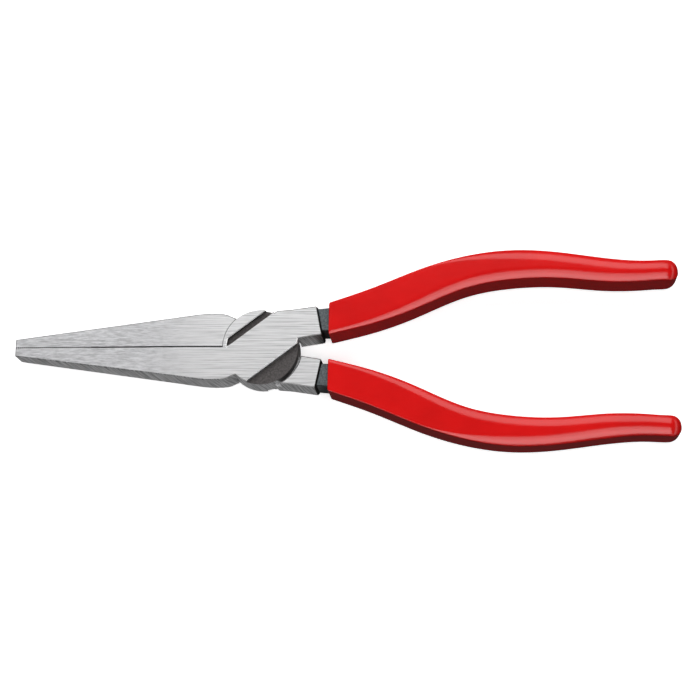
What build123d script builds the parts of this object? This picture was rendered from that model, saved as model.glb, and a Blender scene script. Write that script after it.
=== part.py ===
from build123d import *
import math
import os

# Flat nose pliers with a lap joint, closed, lying on their rear face.
# Origin: the pivot axis at the rear face of the joint. +X runs to the handle ends, the jaw tips
# are at -X, +Y is towards the upper handle and +Z is towards the front face. Millimetres.
# The rear lever is the front lever turned over about the X axis through the mid plane.

# Joint
joint_thickness = 10.0
joint_radius = 9.0
lap_gap = 0.05              # between the two half plates
jaw_side_gap = 0.12         # round a half plate, against the other lever's jaw
front_shank_gap = 1.2       # round the front half plate, against the rear lever's shank
rear_shank_gap = 0.3        # round the rear half plate, against the front lever's shank
mid_plane = joint_thickness / 2

# Raised band across the half plate, with a groove on one side and a recess on the other
band_angle = 37.5
band_low_side = 4.75        # from the pivot to the edge beside the recess
band_high_side = 5.0        # from the pivot to the edge beside the groove
recess_depth = 1.4
groove_depth = 1.3
groove_width = 1.4
groove_end_margin = 0.9     # metal left between the groove's closed end and the plate's rim
band_high_exit = band_angle + math.degrees(math.asin(band_high_side / joint_radius))
band_low_exit = band_angle - math.degrees(math.asin(band_low_side / joint_radius))

# Jaw
jaw_length = 60.0           # from the pivot to the tip
jaw_tip_height = 2.05
jaw_tip_thickness = 7.0
jaw_taper = 0.13            # rise of the outer edge per unit of length
jaw_taper_start = 21.0      # distance from the pivot at which the straight outer edge ends
jaw_thin_start = 18.0       # distance from the pivot at which the faces start to taper
jaw_root_inset = 0.9        # the root's highest point, nearer the centre line than the joint's rim
jaw_root_height = joint_radius - jaw_root_inset
jaw_root_reach = 1.0        # how far outside the joint's circle the highest point is
jaw_shoulder_angle = 229.5  # where the outer edge meets the joint's circle
jaw_shoulder_rise = 1.5     # radial distance of the shoulder's knee from the circle
jaw_shoulder_knee = 4.1     # angle of the knee past the shoulder
jaw_shoulder_slope = 0.7    # slope of the outer edge where it reaches the knee
jaw_relief = 0.16           # each jaw's set-back behind the teeth

# Teeth
teeth_length = 18.6
tooth_pitch = 0.5
tooth_depth = 0.2
tooth_land = 0.06           # flat left on each crest
tip_contact_gap = 0.02      # each jaw's crests to the parting plane

# Shank between the joint and the handle
shank_length = 5.35         # from the joint's circle to the middle of the end face
shank_offset = 6.55         # middle of the end face from the centre line
shank_width = 7.05
shank_end_lean = 11.4       # degrees that the end face leans from square
shank_shoulder_margin = 2.95    # degrees from the shoulder to the groove's open end
shank_shoulder_angle = band_high_exit - shank_shoulder_margin
shank_shoulder_rise = 0.65
shank_shoulder_knee = 2.3
shank_top_inset = 1.6       # from the circle's right side to where the top edge starts to climb
shank_top_rise = 0.1        # that point above the circle's top
crotch_rise = 0.25          # inner corner between the shank and the circle, outside the circle
crotch_margin = 3.35        # degrees from the band's low side to where that corner meets the circle
crotch_span = 4.0           # degrees from there to the corner
crotch_foot_angle = band_low_exit + crotch_margin
crotch_angle = crotch_foot_angle + crotch_span
shank_end_bevel = 0.45

# Handle: a tang inside a dipped grip
neck_length = 2.05          # from the middle of the shank's end to the mouth of the grip
neck_step = 0.5             # each face of the tang below the joint's face
neck_flare = 0.45           # how much the neck widens on its outer side, up to the mouth
grip_wall = 1.0
grip_edge_radius = 1.5
grip_mouth_radius = 1.0
grip_end_radius = 4.0       # rounding of the closed end towards both faces
tang_edge_radius = 0.4
tang_thickness = joint_thickness - 2 * neck_step
grip_thickness = tang_thickness + 2 * grip_wall
grip_mouth = joint_radius + shank_length + neck_length

# Sections of the grip: distance from its mouth, middle above the shank's middle, width
grip_sections = (
    (0.0, 0.3, 7.75),
    (9.4, 3.1, 8.65),
    (21.0, 7.55, 9.25),
    (32.5, 11.8, 7.9),
    (44.0, 13.7, 7.25),
    (55.5, 13.55, 6.4),
    (67.0, 12.3, 5.8),
    (76.0, 12.1, 5.0),
    (81.0, 12.3, 4.95),
)

# Rivet
rivet_radius = 2.9
rivet_head_radius = 4.1
rivet_head_depth = 1.3
rivet_gap = 0.05            # round the rivet in the rear lever, where it turns

# Small breaks on the ground edges of both levers
edge_break = 0.2


def polar(radius, angle):
    """Point at an angle in degrees from +X, round the pivot."""
    return (radius * math.cos(math.radians(angle)), radius * math.sin(math.radians(angle)))


def slab(face, low, high):
    """Solid between two heights over a face that lies in the XY plane."""
    return Pos(0, 0, low) * extrude(face, amount=high - low)


def turned_over(shape):
    """The same piece on the other side of the mid plane and the centre line."""
    return shape.rotate(Axis((0, 0, mid_plane), (1, 0, 0)), 180)


def diagonal_strip(start, end, low, high):
    """Rectangle along the band's direction, between two distances each way from the pivot."""
    strip = Pos((start + end) / 2, (low + high) / 2) * Rectangle(end - start, high - low)
    return Rot(0, 0, band_angle) * strip


def jaw_face():
    """Lower jaw from its tip to the pivot, closed along the parting line."""
    tip_low = (-jaw_length, -jaw_tip_height)
    taper_end = (-jaw_taper_start, -jaw_tip_height - jaw_taper * (jaw_length - jaw_taper_start))
    crown = (-joint_radius - jaw_root_reach, -jaw_root_height)
    knee = polar(joint_radius + jaw_shoulder_rise, jaw_shoulder_angle - jaw_shoulder_knee)
    shoulder = polar(joint_radius, jaw_shoulder_angle)
    teeth_end = -jaw_length + teeth_length
    edges = Polyline((0, 0), (0, -jaw_relief), (teeth_end, -jaw_relief),
                     (teeth_end, -tip_contact_gap), (-jaw_length, -tip_contact_gap), tip_low, taper_end)
    edges += Spline(taper_end, crown, knee, tangents=((1, -jaw_taper), (1, jaw_shoulder_slope)))
    edges += Polyline(knee, shoulder, (0, 0))
    return make_face(edges)


def shank_end():
    """Outer and inner corners of the shank's end face."""
    middle = (joint_radius + shank_length, shank_offset)
    across = polar(shank_width / 2, 90 + shank_end_lean)
    outer = (middle[0] + across[0], middle[1] + across[1])
    inner = (middle[0] - across[0], middle[1] - across[1])
    return outer, inner


def shank_face():
    """Upper shank from the pivot to its end face."""
    outer, inner = shank_end()
    shoulder = polar(joint_radius, shank_shoulder_angle)
    knee = polar(joint_radius + shank_shoulder_rise, shank_shoulder_angle - shank_shoulder_knee)
    top = (joint_radius - shank_top_inset, joint_radius + shank_top_rise)
    crotch = polar(joint_radius + crotch_rise, crotch_angle)
    foot = polar(joint_radius, crotch_foot_angle)
    return make_face(Polyline((0, 0), shoulder, knee, top, outer, inner, crotch, foot, close=True))


def teeth_cuts():
    """Triangular grooves across the lower jaw's gripping face."""
    count = int(teeth_length / tooth_pitch)
    half_width = (tooth_pitch - tooth_land) / 2
    crest = -tip_contact_gap
    cuts = []
    for number in range(count):
        x = -jaw_length + tooth_pitch * (number + 0.5)
        corners = ((x - half_width, crest), (x, crest - tooth_depth), (x + half_width, crest))
        cuts.append(slab(make_face(Polyline(*corners, close=True)), 0, joint_thickness))
    return cuts


def jaw_taper_cuts():
    """Two wedges that thin the jaw from its root to its tip."""
    beyond = jaw_length + jaw_root_height
    drop = (joint_thickness - jaw_tip_thickness) / 2
    run = beyond - jaw_thin_start
    low = joint_thickness - drop * run / (jaw_length - jaw_thin_start)
    side = Polyline((-jaw_thin_start, joint_thickness), (-beyond, low), (-beyond, joint_thickness),
                    close=True)
    upper = extrude(Plane.XZ * make_face(side), amount=2 * jaw_root_height, both=True)
    return [upper, turned_over(upper)]


def plate_clearance(shank_gap):
    """Room in the rear half for the other lever's half plate."""
    outer = joint_radius + shank_gap
    shank_side = Circle(outer) & Pos(0, outer) * Rectangle(2 * outer, 2 * outer)
    room = Circle(joint_radius + jaw_side_gap) + shank_side
    return slab(room, 0, mid_plane + lap_gap / 2)


def band_cuts():
    """Groove above the band, open at its upper end, and the recess below the band."""
    reach = 2 * joint_radius
    groove_high = band_high_side + groove_width
    plate = Circle(joint_radius + front_shank_gap)
    open_half = diagonal_strip(0, reach, band_high_side, groove_high) & plate
    closed_half = diagonal_strip(-reach, 0, band_high_side, groove_high)
    closed_half &= Circle(joint_radius - groove_end_margin)
    recess = diagonal_strip(-reach, reach, -reach, -band_low_side) & plate
    top = joint_thickness
    return [slab(open_half + closed_half, top - groove_depth, top), slab(recess, top - recess_depth, top)]


def rivet_shape(gap):
    """Countersunk rivet through the joint, or its hole when the gap is more than zero."""
    side = Polyline((0, 0), (rivet_head_radius + gap, 0), (rivet_radius + gap, rivet_head_depth),
                    (rivet_radius + gap, joint_thickness - rivet_head_depth),
                    (rivet_head_radius + gap, joint_thickness), (0, joint_thickness), close=True)
    return revolve(Plane.XZ * make_face(side), axis=Axis.Z)


def slope_at(number):
    """Slope of the handle's middle line at one of the grip's sections."""
    before = grip_sections[max(number - 1, 0)]
    after = grip_sections[min(number + 1, len(grip_sections) - 1)]
    return (after[1] - before[1]) / (after[0] - before[0])


def handle_side(inset, side):
    """Points along one side of the handle, set in from the grip's surface."""
    points = []
    for number, (run, middle, width) in enumerate(grip_sections):
        half = width / 2 - inset * math.hypot(1, slope_at(number))
        points.append((grip_mouth + run, shank_offset + middle + side * half))
    return points


def handle_face(inset, root):
    """Front outline of the handle, set in from the grip's surface, from the given root points."""
    inner = handle_side(inset, -1)
    outer = handle_side(inset, 1)
    end = (1, 0)
    edges = Spline(*inner, tangents=(Vector(inner[1]) - Vector(inner[0]), end))
    edges += TangentArc(inner[-1], outer[-1], tangent=end)
    edges += Spline(*outer, tangents=(Vector(outer[1]) - Vector(outer[0]), end))
    edges += Polyline(inner[0], *root, outer[0])
    return make_face(edges)


def end_block(inset):
    """Block that rounds the handle's end towards both faces, set in from the grip's surface."""
    last_run, _, last_width = grip_sections[-1]
    end = grip_mouth + last_run + last_width / 2 - inset
    side = Pos(end / 2, mid_plane) * Rectangle(end, grip_thickness - 2 * inset)
    side = fillet(side.vertices().sort_by(Axis.X)[-2:], grip_end_radius - inset)
    return extrude(Plane.XZ * side, amount=end, both=True)


def rim_edges(handle):
    """Edges of the handle's two flat faces, without the straight ones across its near end."""
    edges = handle.faces().filter_by(Axis.Z).edges()
    near_end = handle.bounding_box().min.X
    return [edge for edge in edges if edge.center().X > near_end or edge.geom_type != GeomType.LINE]


def grip_solid():
    """Outside of the upper grip, with its long edges rounded."""
    low = mid_plane - grip_thickness / 2
    solid = slab(handle_face(0, ()), low, low + grip_thickness)
    mouth_corner = solid.edges().filter_by(Axis.Z).sort_by(Axis.X)[:2].sort_by(Axis.Y)[-1]
    solid = fillet(mouth_corner, grip_mouth_radius)
    return fillet(rim_edges(solid), grip_edge_radius) & end_block(0)


def tang():
    """Upper tang with its neck, from inside the shank to the end of the grip's cavity."""
    inner_y = handle_side(grip_wall, -1)[0][1]
    outer_y = handle_side(grip_wall, 1)[0][1]
    root_x = joint_radius + shank_length / 2
    face = handle_face(grip_wall, ((root_x, inner_y), (root_x, outer_y - neck_flare)))
    low = mid_plane - tang_thickness / 2
    solid = slab(face, low, low + tang_thickness)
    return fillet(rim_edges(solid), tang_edge_radius) & end_block(grip_wall)


def shank_end_edges(body):
    """Edges round the shank's end face."""
    outer, inner = shank_end()
    middle = Vector((outer[0] + inner[0]) / 2, (outer[1] + inner[1]) / 2, mid_plane)
    return body.faces().sort_by_distance(middle)[0].edges()


def ground_edges(body):
    """Edges of the ground front and rear faces that stand free, without the bevelled end's."""
    jaw_drop = (joint_thickness - jaw_tip_thickness) / 2
    deepest = min(jaw_drop, recess_depth, groove_depth)
    steepest = math.cos(math.atan2(joint_thickness, jaw_length))
    bevelled_end = joint_radius + shank_length - 2 * shank_end_bevel
    edges = []
    for face in body.faces():
        depth = joint_thickness / 2 - abs(face.center().Z - mid_plane)
        if abs(face.normal_at().Z) > steepest and depth < deepest:
            edges += face.edges()
    kept = []
    for edge in edges:
        shared = sum(edge.is_same(other) for other in edges) > 1
        middle = edge.center()
        parting = middle.X < -joint_radius and abs(middle.Y) < jaw_tip_height / 2
        rim = edge.geom_type == GeomType.CIRCLE and edge.radius > joint_radius - groove_end_margin / 2
        beside_jaw = rim and middle.X < 0 and (middle.Z > mid_plane) == (middle.Y > 0)
        if not shared and not parting and not beside_jaw and middle.X < bevelled_end:
            kept.append(edge)
    return kept


def lever(hole_gap, shank_gap):
    """Front lever: lower jaw, front half plate, upper shank and tang."""
    body = slab(jaw_face() + Circle(joint_radius) + shank_face(), 0, joint_thickness)
    body = chamfer(shank_end_edges(body), shank_end_bevel)
    body -= jaw_taper_cuts()
    body -= plate_clearance(shank_gap)
    body -= band_cuts()
    body = chamfer(ground_edges(body), edge_break)
    body -= teeth_cuts()
    body -= rivet_shape(hole_gap)
    return body + tang()


def grip():
    """Upper grip, with the cavity that its tang fills."""
    return grip_solid() - tang()


os.makedirs("parts", exist_ok=True)
export_step(lever(0, rear_shank_gap), "parts/front_lever.step")
export_step(turned_over(lever(rivet_gap, front_shank_gap)), "parts/rear_lever.step")
export_step(rivet_shape(0), "parts/pivot_rivet.step")
export_step(grip(), "parts/upper_grip.step")
export_step(turned_over(grip()), "parts/lower_grip.step")
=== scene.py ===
import math

import bmesh
import bpy
from mathutils import Matrix, Vector
from mathutils.bvhtree import BVHTree


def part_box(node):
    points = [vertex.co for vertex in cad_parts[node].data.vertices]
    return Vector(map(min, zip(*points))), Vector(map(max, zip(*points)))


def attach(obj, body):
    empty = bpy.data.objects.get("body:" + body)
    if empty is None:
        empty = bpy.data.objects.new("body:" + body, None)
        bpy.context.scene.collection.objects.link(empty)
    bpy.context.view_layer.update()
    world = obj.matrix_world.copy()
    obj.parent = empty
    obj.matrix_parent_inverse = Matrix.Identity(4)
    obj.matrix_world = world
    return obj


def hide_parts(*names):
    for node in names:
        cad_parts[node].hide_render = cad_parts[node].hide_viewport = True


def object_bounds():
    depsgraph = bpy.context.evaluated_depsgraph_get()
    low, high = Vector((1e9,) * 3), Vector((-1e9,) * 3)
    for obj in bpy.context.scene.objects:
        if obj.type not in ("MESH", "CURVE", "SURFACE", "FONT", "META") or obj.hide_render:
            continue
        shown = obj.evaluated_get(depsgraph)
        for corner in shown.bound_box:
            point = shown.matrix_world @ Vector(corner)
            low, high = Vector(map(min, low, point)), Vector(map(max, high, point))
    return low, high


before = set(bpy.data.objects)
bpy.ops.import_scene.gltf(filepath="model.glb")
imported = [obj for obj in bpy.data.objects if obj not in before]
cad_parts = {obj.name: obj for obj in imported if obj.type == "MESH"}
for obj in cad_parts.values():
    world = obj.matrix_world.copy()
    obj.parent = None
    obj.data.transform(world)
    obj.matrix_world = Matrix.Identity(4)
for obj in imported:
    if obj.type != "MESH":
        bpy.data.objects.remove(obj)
cad_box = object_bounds()

MM = 0.001

# Places on the tool, from the frame
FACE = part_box("pivot_rivet")[1].z               # height of the joint's front face
MID = FACE / 2
JOINT_RADIUS = -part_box("front_lever")[0].y
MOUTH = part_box("upper_grip")[0].x               # where the grips start
CENTRE = (cad_box[0] + cad_box[1]) / 2
FLOOR = cad_box[0].z

# Zones of the two levers
NECK_START = MOUTH - 2.5 * MM
BEVEL_START = MOUTH - 3.1 * MM
SKIN = 0.2 * MM                                 # a ground face lies within this of the outside
EDGE_DEPTH = 0.5 * MM                           # and the breaks along its edges within this
CUT_DEPTH = 1.0 * MM                            # the groove and the recess are deeper than this
CUT_FLOOR = 2 * CUT_DEPTH                       # and no deeper than this
RELIEF = 0.4 * MM                               # teeth and facing sides, from the parting plane
BAND_ANGLE = math.radians(37.5)
LEVEL = 0.92                                    # least upward part of a ground face's normal
SLOPING = 0.35                                  # and of an edge break's
END_ON = 0.5                                    # least lengthwise part of an end bevel's normal

# Camera
CAMERA_TILT = math.radians(12.776)              # leaning back towards the lower handle
CAMERA_PAN = math.radians(4.314)                # and towards the handle ends
CAMERA_DISTANCE = 430.2 * MM
CAMERA_AIM = Vector((CENTRE.x + 1.7 * MM, CENTRE.y - 0.86 * MM, FACE))
CAMERA_LENS = 92.72


# ---------------------------------------------------------------- materials

class Surface:
    """A procedural material on one principled shader, in object coordinates measured in mm."""

    def __init__(self, name, metallic, roughness, **sockets):
        self.material = bpy.data.materials.new(name)
        self.material.use_nodes = True
        self.tree = self.material.node_tree
        self.shader = self.tree.nodes["Principled BSDF"]
        self.shader.inputs["Metallic"].default_value = metallic
        self.shader.inputs["Roughness"].default_value = roughness
        for socket, value in sockets.items():
            self.shader.inputs[socket.replace("_", " ")].default_value = value
        coordinates = self.tree.nodes.new("ShaderNodeTexCoord")
        scaled = self.tree.nodes.new("ShaderNodeMapping")
        scaled.inputs["Scale"].default_value = (1 / MM, 1 / MM, 1 / MM)
        self.tree.links.new(coordinates.outputs["Object"], scaled.inputs["Vector"])
        self.place = scaled.outputs["Vector"]

    def noise(self, scale, angle=(0, 0, 0), detail=3.0, rough=0.55):
        """Noise with that many features per mm along each axis, after turning by the angle."""
        turned = self.tree.nodes.new("ShaderNodeMapping")
        turned.inputs["Rotation"].default_value = angle
        self.tree.links.new(self.place, turned.inputs["Vector"])
        stretched = self.tree.nodes.new("ShaderNodeMapping")
        stretched.inputs["Scale"].default_value = scale
        self.tree.links.new(turned.outputs["Vector"], stretched.inputs["Vector"])
        node = self.tree.nodes.new("ShaderNodeTexNoise")
        node.inputs["Scale"].default_value = 1.0
        node.inputs["Detail"].default_value = detail
        node.inputs["Roughness"].default_value = rough
        self.tree.links.new(stretched.outputs["Vector"], node.inputs["Vector"])
        return node.outputs["Fac"]

    def ramp(self, factor, *stops):
        """Colour ramp through (position, colour or grey level) stops."""
        node = self.tree.nodes.new("ShaderNodeValToRGB")
        band = node.color_ramp
        while len(band.elements) < len(stops):
            band.elements.new(0.5)
        for element, (position, colour) in zip(band.elements, stops):
            element.position = position
            element.color = (*colour, 1) if isinstance(colour, tuple) else (colour, colour, colour, 1)
        self.tree.links.new(factor, node.inputs["Fac"])
        return node.outputs["Color"]

    def math(self, operation, first, second):
        node = self.tree.nodes.new("ShaderNodeMath")
        node.operation = operation
        for socket, value in zip(node.inputs, (first, second)):
            if isinstance(value, (int, float)):
                socket.default_value = value
            else:
                self.tree.links.new(value, socket)
        return node.outputs["Value"]

    def mix(self, factor, first, second):
        """The first colour where the factor is 0 and the second where it is 1."""
        node = self.tree.nodes.new("ShaderNodeMix")
        node.data_type = "RGBA"
        sockets = {socket.identifier: socket for socket in node.inputs}
        for name, value in (("Factor_Float", factor), ("A_Color", first), ("B_Color", second)):
            self.tree.links.new(value, sockets[name])
        return [socket for socket in node.outputs if socket.type == "RGBA"][0]

    def along(self, axis, start, end):
        """0 to 1 between two places in mm along an object axis."""
        split = self.tree.nodes.new("ShaderNodeSeparateXYZ")
        self.tree.links.new(self.place, split.inputs["Vector"])
        node = self.tree.nodes.new("ShaderNodeMapRange")
        node.interpolation_type = "SMOOTHSTEP"
        node.inputs["From Min"].default_value = start
        node.inputs["From Max"].default_value = end
        self.tree.links.new(split.outputs[axis], node.inputs["Value"])
        return node.outputs["Result"]

    def colour(self, value):
        self.tree.links.new(value, self.shader.inputs["Base Color"])

    def roughness(self, value):
        self.tree.links.new(value, self.shader.inputs["Roughness"])

    def bump(self, height, strength, distance):
        node = self.tree.nodes.new("ShaderNodeBump")
        node.inputs["Strength"].default_value = strength
        node.inputs["Distance"].default_value = distance
        self.tree.links.new(height, node.inputs["Height"])
        self.tree.links.new(node.outputs["Normal"], self.shader.inputs["Normal"])


def ground_steel():
    """Front and rear faces: long straight streaks, shorter and more mottled on the jaws."""
    s = Surface("ground_face", 1.0, 0.36)
    long_streaks = s.noise((0.07, 3.2, 3.2), detail=4.0, rough=0.65)
    short_streaks = s.noise((0.40, 3.0, 3.0), detail=4.0, rough=0.7)
    jaw = s.along("X", -12.0, -30.0)
    joint_tone = s.ramp(long_streaks, (0.34, (0.42, 0.42, 0.425)), (0.60, (0.86, 0.86, 0.865)))
    jaw_tone = s.ramp(short_streaks, (0.34, (0.42, 0.42, 0.43)), (0.62, (0.73, 0.73, 0.745)))
    s.colour(s.mix(jaw, joint_tone, jaw_tone))
    s.roughness(s.ramp(long_streaks, (0.3, 0.44), (0.7, 0.32)))
    s.bump(s.math("ADD", long_streaks, s.math("MULTIPLY", short_streaks, 0.5)), 0.35, 0.02 * MM)
    return s.material


def ground_side():
    """Side faces: coarser, darker, with slanting grinding marks."""
    s = Surface("ground_side", 1.0, 0.5)
    slant = (0, math.radians(8), 0)
    marks = s.noise((3.0, 0.25, 0.10), angle=slant, detail=2.0, rough=0.5)
    s.colour(s.ramp(marks, (0.36, (0.27, 0.27, 0.276)), (0.64, (0.68, 0.68, 0.69))))
    s.bump(marks, 0.8, 0.12 * MM)
    return s.material


def painted_facing_shade():
    """Facing sides of the jaws and their teeth: near black, painted shade of the narrow parting gap and
    the deep tooth notches.
    """
    s = Surface("jaw_facing_painted_shade", 0.0, 0.7, Specular_IOR_Level=0.2)
    marks = s.noise((2.5, 0.4, 0.4), detail=4.0, rough=0.6)
    s.colour(s.ramp(marks, (0.35, (0.020, 0.020, 0.020)), (0.68, (0.085, 0.085, 0.087))))
    s.bump(marks, 0.4, 0.03 * MM)
    return s.material


def edge_steel():
    """Narrow breaks along the ground edges, polished by handling."""
    s = Surface("worn_edge", 1.0, 0.25)
    wear = s.noise((0.8, 0.8, 0.8))
    s.colour(s.ramp(wear, (0.3, 0.60), (0.7, 0.80)))
    return s.material


def forged_steel(name, dark, light, roughness):
    """Skin left by forging and hardening: dark, rough and finely speckled."""
    s = Surface(name, 0.85, roughness)
    speckle = s.noise((2.2, 2.2, 2.2), detail=5.0, rough=0.75)
    s.colour(s.ramp(speckle, (0.35, dark), (0.66, light)))
    s.bump(speckle, 0.8, 0.08 * MM)
    return s.material


def dipped_plastic():
    """Glossy soft plastic, with the faint waviness and pores of a dipped coat."""
    s = Surface("dipped_red", 0.0, 0.22, Specular_IOR_Level=0.4)
    cloud = s.noise((0.10, 0.16, 0.16), detail=2.0)
    pores = s.noise((5.0, 5.0, 5.0), detail=2.0)
    wave = s.noise((0.25, 0.35, 0.35), detail=1.5)
    s.colour(s.ramp(cloud, (0.3, (0.66, 0.0034, 0.0034)), (0.7, (0.74, 0.0044, 0.0044))))
    s.roughness(s.ramp(pores, (0.35, 0.18), (0.7, 0.23)))
    s.bump(s.math("ADD", wave, s.math("MULTIPLY", pores, 0.03)), 0.12, 0.05 * MM)
    return s.material


def pale_floor():
    s = Surface("pale_floor", 0.0, 0.9, Emission_Color=(1, 1, 1, 1), Emission_Strength=0.62)
    s.colour(s.ramp(s.noise((0.02, 0.02, 0.02)), (0.3, 0.90), (0.7, 0.92)))
    return s.material


LEVER_MATERIALS = {
    "face": ground_steel(),
    "side": ground_side(),
    "edge": edge_steel(),
    "facing": painted_facing_shade(),
    # forged skin of the groove and the recess, also laid on the disc's rim beside the other lever's
    # shank as painted shade of that gap
    "cut": forged_steel("forged_cut_and_gap_shade", (0.050, 0.046, 0.046), (0.13, 0.12, 0.118), 0.6),
    "neck": forged_steel("forged_neck", (0.040, 0.048, 0.051), (0.15, 0.17, 0.178), 0.5),
    "bevel": forged_steel("forged_bevel", (0.006, 0.007, 0.007), (0.016, 0.018, 0.018), 0.55),
}
ZONES = list(LEVER_MATERIALS)


def lever_zone(centre, normal):
    """Which finish a face of a lever has, from where it is and which way it points, with painted shade
    on the jaws' facing sides and on the disc's rim beside the other shank.
    """
    depth = MID - abs(centre.z - MID)
    radius = math.hypot(centre.x, centre.y)
    flat = abs(normal.z) > LEVEL
    if centre.x > BEVEL_START and normal.x > END_ON:
        return "bevel"
    if centre.x > NECK_START and not (flat and depth < SKIN):
        return "neck"
    # the facing sides and teeth get near-black painted shade for the parting gap and the tooth notches
    if centre.x < -JOINT_RADIUS and abs(centre.y) < RELIEF and not flat:
        return "facing"
    if flat:
        cut = CUT_DEPTH < depth < CUT_FLOOR and radius < 1.2 * JOINT_RADIUS
        return "cut" if cut else "face"
    if abs(normal.z) > SLOPING and depth < EDGE_DEPTH and centre.x > -1.1 * JOINT_RADIUS:
        return "edge"
    turned = 1 if centre.z > MID else -1
    above_band = turned * centre.y * math.cos(BAND_ANGLE) > centre.x * math.sin(BAND_ANGLE)
    if above_band and depth < CUT_FLOOR and radius < 0.98 * JOINT_RADIUS:
        return "cut"
    # the disc's rim in the gap beside the other lever's shank is darkened as painted shade of that gap
    beside_shank = centre.x > 0.5 * JOINT_RADIUS and turned * centre.y < 0.1 * JOINT_RADIUS
    on_rim = abs(radius - JOINT_RADIUS) < 0.05 * MM
    return "cut" if beside_shank and on_rim else "side"


def finish_lever(name):
    """Give each face of a lever the finish of its zone."""
    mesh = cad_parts[name].data
    mesh.materials.clear()
    for zone in ZONES:
        mesh.materials.append(LEVER_MATERIALS[zone])
    for face in mesh.polygons:
        face.material_index = ZONES.index(lever_zone(face.center, face.normal))


# ---------------------------------------------------------------- grips

STATIONS = 150                     # sections along a grip
END_TURNS = 24                     # sections round its closed end
SMOOTHING = 4                      # neighbours on each side that a section is averaged with
EDGE_STEPS = 4
ROLL_STEPS = 9
SIDE_STEPS = 8
REACH = 0.1                        # rays start this far out, beyond the tool
LIP = 0.35 * MM                    # rounding of the grip's mouth
LIP_ROUND = ((1, 0), (0.45, 0.15), (0.12, 0.5))     # its (inset, distance) in shares of LIP
CLEAR = 1.4 * MM                   # past this the CAD grip's mouth rounding no longer counts
GRIP_CAP = 4 * MM                  # length over which the grip's end rounds off
TANG_CAP = 2 * MM
GRIP_STOP = 0.004 * MM             # the last sections stop this short of the ends
TANG_STOP = 0.01 * MM
CAVITY_GAP = 0.02 * MM
CAVITY_CORNER = (0.4 * MM, 0.4 * MM)
SHOULDER = math.radians(33)        # slope of the rolled edge where it meets the crisp one
ROOM_SHARE = 0.98                  # most of a section's half width that an edge may take
HEIGHT_SHARE = 0.9                 # and of its half height

# Radius at the mouth, at the closed end, and the shares of the length between which it grows
OUTER_ROLL = (0.2 * MM, 4.6 * MM, 0.25, 0.55)
OUTER_EDGE = (0.25 * MM, 0.65 * MM, 0.4, 0.8)
INNER_ROLL = (1.6 * MM, 4.8 * MM, 0.0, 0.35)
INNER_EDGE = (0.22 * MM, 0.42 * MM, 0.8, 1.0)


def eased(value):
    """0 to 1 with a soft start and stop."""
    value = min(max(value, 0.0), 1.0)
    return value * value * (3 - 2 * value)


def hit(tree, start, direction):
    """Where a ray first meets the shape."""
    return tree.ray_cast(Vector(start), Vector(direction))[0]


def profile(tree, x, side):
    """Outer side, inner side and half height of a handle, at one distance from the pivot."""
    outer = hit(tree, (x, side * REACH, MID), (0, -side, 0))
    inner = hit(tree, (x, 0, MID), (0, side, 0))
    top = hit(tree, (x, (outer.y + inner.y) / 2, REACH), (0, 0, -1))
    return outer.y, inner.y, top.z - MID


def corner(roll, edge):
    """Quarter section from the side to the face, as (in from the side, down from the face) pairs.

    A small round of radius edge turns from the side to the shoulder, then a roll of radius roll
    runs out flat on the face.
    """
    points = []
    for step in range(EDGE_STEPS):
        angle = math.pi / 2 - (math.pi / 2 - SHOULDER) * step / EDGE_STEPS
        points.append((edge * (1 - math.sin(angle)), edge * math.cos(angle)))
    start = (edge * (1 - math.sin(SHOULDER)), edge * math.cos(SHOULDER))
    for step in range(ROLL_STEPS + 1):
        angle = SHOULDER * (1 - step / ROLL_STEPS)
        points.append((start[0] + roll * (math.sin(SHOULDER) - math.sin(angle)),
                       start[1] + roll * (math.cos(angle) - math.cos(SHOULDER))))
    top = points[-1][1]
    return [(across, top - up) for across, up in points]


def section(outer, inner, half_height, outer_corner, inner_corner):
    """Closed ring of (y, z) points of a section with rounded edges, symmetric front to rear."""
    room = abs(outer - inner) / 2
    quarters = []
    for side, shape in ((outer, outer_corner), (inner, inner_corner)):
        points = corner(*shape)
        shrink = min(1, ROOM_SHARE * room / points[-1][0], HEIGHT_SHARE * half_height / points[0][1])
        towards = 1 if side < (outer + inner) / 2 else -1
        quarters.append([(side + towards * across * shrink, half_height - drop * shrink)
                         for across, drop in points])
    high, low = quarters if outer > inner else quarters[::-1]
    front = high + spread(high[-1], low[-1]) + low[::-1]
    rear = [(y, -z) for y, z in front[::-1]]
    return front + spread(front[-1], rear[0]) + rear + spread(rear[-1], front[0])


def spread(first, last):
    """Points evenly between two points."""
    return [(first[0] + (last[0] - first[0]) * step / SIDE_STEPS,
             first[1] + (last[1] - first[1]) * step / SIDE_STEPS) for step in range(1, SIDE_STEPS)]


def spaced(start, end, count, cap):
    """Distances that crowd together over the last stretch, where the closed end rounds off."""
    straight = [start + (end - cap - start) * n / count for n in range(count)]
    rounded = [end - cap + cap * math.sin(math.pi / 2 * n / END_TURNS) for n in range(END_TURNS)]
    return straight + rounded


def grown(share, first, last, start, stop):
    """Radius at that share of a grip's length."""
    return first + (last - first) * eased((share - start) / (stop - start))


def corner_shapes(x, end):
    """Roll and edge radii of the outer and inner long edges, softer towards the closed end."""
    share = (x - MOUTH) / (end - MOUTH)
    outer = (grown(share, *OUTER_ROLL), grown(share, *OUTER_EDGE))
    inner = (grown(share, *INNER_ROLL), grown(share, *INNER_EDGE))
    return outer, inner


def smoothed(rows):
    """Rows averaged with their neighbours along the straight run of stations."""
    result = list(rows)
    for number in range(SMOOTHING, STATIONS - SMOOTHING):
        near = rows[number - SMOOTHING:number + SMOOTHING + 1]
        result[number] = tuple(sum(values) / len(near) for values in zip(*near))
    return result


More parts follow.
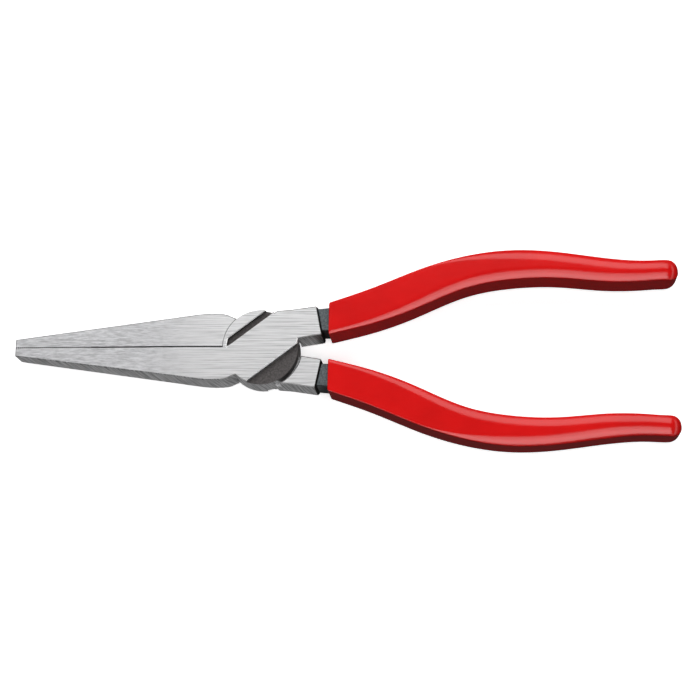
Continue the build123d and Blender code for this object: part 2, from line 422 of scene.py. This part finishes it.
def outside_rings(node, side):
    """Sections of a grip's outside from its mouth to its closed end, each with its distance."""
    tree = BVHTree.FromObject(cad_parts[node], bpy.context.evaluated_depsgraph_get())
    low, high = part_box(node)
    rings = []
    near, far = (profile(tree, low.x + x, side) for x in (CLEAR, 2 * CLEAR))
    slopes = [(b - a) / CLEAR for a, b in zip(near, far)]

    def sides(x):
        if x > low.x + CLEAR:
            return profile(tree, x, side)
        return [value + slope * (x - low.x - CLEAR) for value, slope in zip(near, slopes)]

    for inset, x in ((LIP * inset, low.x + LIP * distance) for inset, distance in LIP_ROUND):
        outer, inner, half = sides(x)
        rings.append((x, section(outer - side * inset, inner + side * inset, half - inset,
                                 *corner_shapes(low.x, high.x))))
    places = spaced(low.x + LIP, high.x - GRIP_STOP, STATIONS, GRIP_CAP)
    for x, (outer, inner, half) in zip(places, smoothed([sides(x) for x in places])):
        rings.append((x, section(outer, inner, half, *corner_shapes(x, high.x))))
    return rings


def cavity_rings(lever, side):
    """Sections of the cavity just round a lever's tang, from the mouth to the tang's end."""
    tree = BVHTree.FromObject(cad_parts[lever], bpy.context.evaluated_depsgraph_get())
    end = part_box(lever)[1].x
    rings = []
    for x in spaced(MOUTH, end - TANG_STOP, STATIONS // 2, TANG_CAP):
        outer, inner, half = profile(tree, x, side)
        rings.append((x, section(outer + side * CAVITY_GAP, inner - side * CAVITY_GAP, half + CAVITY_GAP,
                                 CAVITY_CORNER, CAVITY_CORNER)))
    return rings


def sleeve(name, node, lever, body, side):
    """Hollow dipped grip: its outside, its rounded mouth and the cavity round the tang."""
    outside = outside_rings(node, side)
    cavity = cavity_rings(lever, side)
    mesh = bpy.data.meshes.new(name)
    work = bmesh.new()
    loops = []
    for x, ring in list(reversed(outside)) + cavity:
        loops.append([work.verts.new((x, y, MID + z)) for y, z in ring])
    for near, far in zip(loops, loops[1:]):
        count = len(near)
        for n in range(count):
            work.faces.new((near[n], near[(n + 1) % count], far[(n + 1) % count], far[n]))
    for loop in (loops[0], loops[-1]):
        centre = sum((v.co for v in loop), Vector()) / len(loop)
        tip = work.verts.new(centre)
        for n in range(len(loop)):
            work.faces.new((loop[n], loop[(n + 1) % len(loop)], tip))
    bmesh.ops.recalc_face_normals(work, faces=work.faces)
    work.to_mesh(mesh)
    work.free()
    mesh.shade_smooth()
    piece = bpy.data.objects.new(name, mesh)
    bpy.context.scene.collection.objects.link(piece)
    mesh.materials.append(RED)
    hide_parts(node)
    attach(piece, body)
    return piece


# ---------------------------------------------------------------- stage

LIGHT_DISTANCE = 0.8
CARD_MARGIN = 20 * MM              # the card reaches this far past the jaw tips
CARD_WIDTH = 100 * MM
CARD_BRIGHTNESS = 0.31
CARD_GAP = 0.01 * MM               # its distance below the tool
FLOOR_GAP = 0.02 * MM              # and the floor's
FLOOR_SIZE = 6

# Brightness of the surroundings by height: -1 straight below the tool, 0 its horizon, 1 overhead
SURROUNDINGS = ((-0.25, 0.03), (-0.02, 0.2), (0.28, 0.2), (0.42, 0.05))


def softbox(name, azimuth, lean, span, length, brightness, gloss_only=False, only=None):
    """Long light facing the tool, so many degrees round from +X and from straight above.

    The span is the angle that its width fills, and only names the pieces that it lights.
    """
    width = 2 * LIGHT_DISTANCE * math.tan(math.radians(span) / 2)
    data = bpy.data.lights.new(name, "AREA")
    data.shape = "RECTANGLE"
    data.size, data.size_y = width, length
    data.energy = math.pi * length * width * brightness
    light = bpy.data.objects.new(name, data)
    light.visible_diffuse = not gloss_only
    turn = Matrix.Rotation(math.radians(azimuth), 4, "Z") @ Matrix.Rotation(math.radians(lean), 4, "Y")
    light.matrix_world = Matrix.Translation(CENTRE) @ turn @ Matrix.Translation((0, 0, LIGHT_DISTANCE))
    bpy.context.scene.collection.objects.link(light)
    if only:
        lit = bpy.data.collections.new(name + "_lit")
        for piece in only:
            lit.objects.link(piece)
        light.light_linking.receiver_collection = lit


def under_card():
    """Dim glow on the floor round the steel, seen only in the reflections of its side faces."""
    data = bpy.data.lights.new("under_card", "AREA")
    data.shape = "RECTANGLE"
    start, end = cad_box[0].x - CARD_MARGIN, BEVEL_START
    data.size, data.size_y = end - start, CARD_WIDTH
    data.energy = math.pi * data.size * data.size_y * CARD_BRIGHTNESS
    card = bpy.data.objects.new("under_card", data)
    place = Matrix.Translation(((start + end) / 2, 0, FLOOR - CARD_GAP))
    card.matrix_world = place @ Matrix.Rotation(math.pi, 4, "X")
    card.visible_diffuse = False
    card.visible_camera = False
    bpy.context.scene.collection.objects.link(card)


def floor_plane():
    bpy.ops.mesh.primitive_plane_add(size=FLOOR_SIZE, location=(CENTRE.x, CENTRE.y, FLOOR - FLOOR_GAP))
    floor = bpy.context.object
    floor.name = "floor"
    floor.data.materials.append(pale_floor())
    floor.visible_diffuse = False
    floor.visible_glossy = False


def surroundings():
    """Dim room round the tool, brightest at its horizon."""
    world = bpy.data.worlds.new("studio")
    bpy.context.scene.world = world
    world.use_nodes = True
    nodes, links = world.node_tree.nodes, world.node_tree.links
    direction = nodes.new("ShaderNodeTexCoord")
    split = nodes.new("ShaderNodeSeparateXYZ")
    height = nodes.new("ShaderNodeMapRange")
    height.inputs["From Min"].default_value = -1
    glow = nodes.new("ShaderNodeValToRGB")
    while len(glow.color_ramp.elements) < len(SURROUNDINGS):
        glow.color_ramp.elements.new(0.5)
    for element, (level, brightness) in zip(glow.color_ramp.elements, SURROUNDINGS):
        element.position = (level + 1) / 2
        element.color = (brightness, brightness, brightness, 1)
    links.new(direction.outputs["Generated"], split.inputs["Vector"])
    links.new(split.outputs["Z"], height.inputs["Value"])
    links.new(height.outputs["Result"], glow.inputs["Fac"])
    links.new(glow.outputs["Color"], nodes["Background"].inputs["Color"])
    nodes["Background"].inputs["Strength"].default_value = 1


def studio(grips):
    """Floor, room and lights: two boxes for everything, strips for gloss and a card for the steel."""
    floor_plane()
    surroundings()
    softbox("upper_box", 90, 41, 38, 1.4, 2.8)
    softbox("lower_box", -90, 15, 18, 1.4, 3.1)
    softbox("lower_strip", -90, 39, 30, 1.4, 4.8, gloss_only=True, only=grips)
    softbox("lower_edges", -90, 82, 10, 1.6, 0.4, gloss_only=True)
    softbox("end_edges", -12, 80, 12, 1.6, 1.8, gloss_only=True)
    under_card()


def photo_camera():
    """Camera at the photo's view."""
    data = bpy.data.cameras.new("camera")
    data.lens = CAMERA_LENS
    data.sensor_width = 36.0
    back = Vector((math.sin(CAMERA_PAN), -math.cos(CAMERA_PAN) * math.sin(CAMERA_TILT),
                   math.cos(CAMERA_PAN) * math.cos(CAMERA_TILT)))
    up = back.cross(Vector((1, 0, 0))).normalized()
    right = up.cross(back)
    camera = bpy.data.objects.new("camera", data)
    camera.matrix_world = Matrix.Translation(CAMERA_AIM + back * CAMERA_DISTANCE) @ \
        Matrix((right, up, back)).transposed().to_4x4()
    bpy.context.scene.collection.objects.link(camera)
    bpy.context.scene.camera = camera


bpy.context.scene.view_settings.view_transform = "Standard"
RED = dipped_plastic()
photo_camera()
finish_lever("front_lever")
finish_lever("rear_lever")
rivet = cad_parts["pivot_rivet"].data
rivet.materials.clear()
rivet.materials.append(LEVER_MATERIALS["face"])
studio([sleeve("upper_sleeve", "upper_grip", "front_lever", "front_half", 1),
        sleeve("lower_sleeve", "lower_grip", "rear_lever", "rear_half", -1)])
